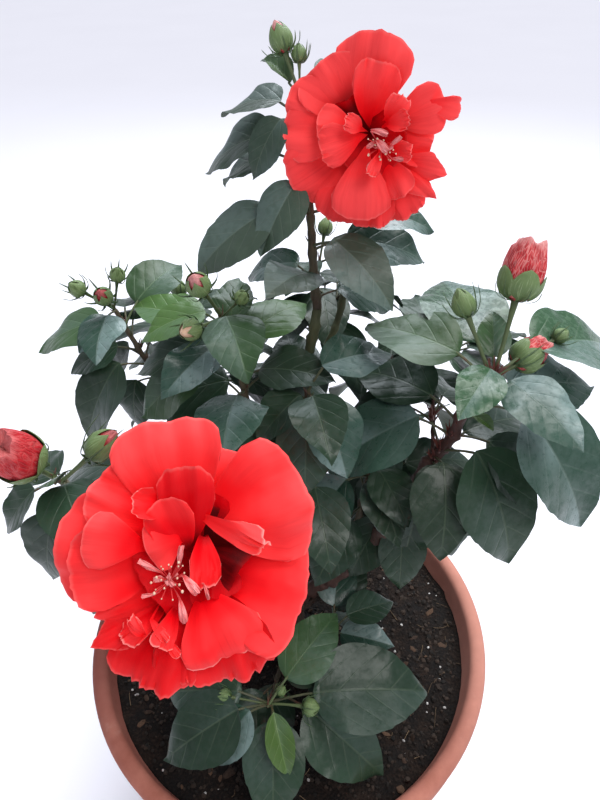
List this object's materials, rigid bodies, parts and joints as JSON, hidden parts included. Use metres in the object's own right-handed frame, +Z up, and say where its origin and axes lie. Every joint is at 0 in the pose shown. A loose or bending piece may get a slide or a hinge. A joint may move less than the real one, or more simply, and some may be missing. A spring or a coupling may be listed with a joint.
{
  "type": "potted hibiscus shrub",
  "caption": "Young double-flowered hibiscus shrub with scarlet blooms, buds and dark glossy leaves on branching stems, growing in a round filled clay pot.",
  "frame": {"origin": "middle of the pot's flat underside", "axes": "+Z straight up; the blooms face -Y, the side the picture is taken from; +X to the picture's right"},
  "size_m": [0.4354, 0.4094, 0.8255],
  "materials": {
    "clay": "matt unglazed terracotta",
    "compost": "dark moist potting compost",
    "bark": "brown bark, knobbly at the leaf scars",
    "foliage": "glossy dark green leaves",
    "petals": "soft scarlet petals"
  },
  "bodies": {
    "root": {"bloom_lower": "petals", "bloom_upper": "petals", "bough_back": "bark", "bough_back_left": "bark", "bough_back_right": "bark", "bough_centre": "bark", "bough_front_left": "bark", "bough_left": "bark", "bough_left_low": "bark", "bough_lower_bloom": "bark", "bough_mid_left": "bark", "bough_middle": "bark", "bough_right": "bark", "bough_right_low": "bark", "bough_upper_bloom": "bark", "foliage_back": "foliage", "foliage_back_left": "foliage", "foliage_back_right": "foliage", "foliage_centre": "foliage", "foliage_crown": "foliage", "foliage_front_left": "foliage", "foliage_front_low": "foliage", "foliage_front_right": "foliage", "foliage_left": "foliage", "foliage_left_low": "foliage", "foliage_mid_left": "foliage", "foliage_middle": "foliage", "foliage_right": "foliage", "foliage_right_low": "foliage", "leader": "bark", "pot": "clay", "soil": "compost", "trunk": "bark"}
  },
  "joints": []
}
